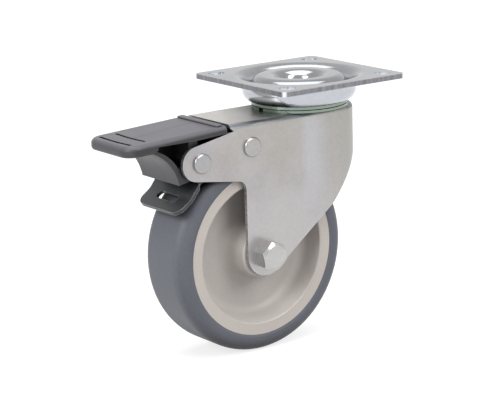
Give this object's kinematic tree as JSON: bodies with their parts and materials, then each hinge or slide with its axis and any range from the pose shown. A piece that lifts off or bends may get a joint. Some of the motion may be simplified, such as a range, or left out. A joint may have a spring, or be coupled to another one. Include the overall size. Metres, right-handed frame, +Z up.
{
  "type": "swivel castor",
  "caption": "Swivel castor on a square plate: pressed fork with a ball-race head, moulded wheel with a soft tyre, and a foot pedal that brakes the wheel and locks the swivel.",
  "frame": {"origin": "on the swivel axis, at the top face of the mounting plate", "axes": "+Z up out of the plate along the swivel axis; the wheel trails towards -X and its axle lies along Y"},
  "size_m": [0.121, 0.06, 0.106],
  "materials": {
    "bright_zinc": "bright zinc-plated sheet steel",
    "matt_zinc": "matt zinc-plated sheet steel",
    "chromate": "yellow-green chromated steel",
    "ball_steel": "polished steel balls",
    "sleeve_steel": "plain turned steel",
    "lever_black": "dark passivated sheet steel",
    "pedal_grey": "dark grey moulded plastic",
    "rim_grey": "warm light grey moulded plastic",
    "tyre_grey": "blue-grey soft rubber"
  },
  "bodies": {
    "plate": {"top_plate": "bright_zinc", "lock_ring": "chromate"},
    "ball_rows": {"upper_balls": "ball_steel", "lower_balls": "ball_steel"},
    "fork_body": {"fork": "matt_zinc", "upper_race_cap": "bright_zinc", "king_pin": "bright_zinc", "lower_race_ring": "chromate", "pedal_rivet": "matt_zinc", "pedal_sleeve": "sleeve_steel", "brake_rivet": "matt_zinc", "brake_sleeve": "sleeve_steel", "axle_bolt": "matt_zinc", "axle_sleeve": "sleeve_steel", "axle_washer": "matt_zinc", "axle_nut": "matt_zinc"},
    "wheel": {"wheel_rim": "rim_grey", "tyre": "tyre_grey"},
    "pedal_body": {"pedal": "pedal_grey"},
    "brake_body": {"brake_lever": "lever_black"}
  },
  "joints": [
    {"name": "swivel_turn", "type": "hinge", "parent": "plate", "child": "fork_body", "pos_m": [0, 0, 0], "axis": [0, 0, 1], "continuous": true},
    {"name": "ball_turn", "type": "hinge", "parent": "plate", "child": "ball_rows", "pos_m": [0, 0, 0], "axis": [0, 0, 1], "continuous": true},
    {"name": "wheel_spin", "type": "hinge", "parent": "fork_body", "child": "wheel", "pos_m": [-0.029, 0, -0.066], "axis": [0, 1, 0], "continuous": true},
    {"name": "pedal_press", "type": "hinge", "parent": "fork_body", "child": "pedal_body", "pos_m": [-0.0581, 0, -0.0255], "axis": [0, -1, 0], "range_deg": [0, 18]},
    {"name": "brake_press", "type": "hinge", "parent": "fork_body", "child": "brake_body", "pos_m": [-0.0346, 0, -0.0225], "axis": [0, -1, 0], "range_deg": [0, 3.6]}
  ],
  "couplings": [
    {"joint": "ball_turn", "follows": "swivel_turn", "ratio": 0.5},
    {"joint": "brake_press", "follows": "pedal_press", "ratio": 0.2}
  ]
}
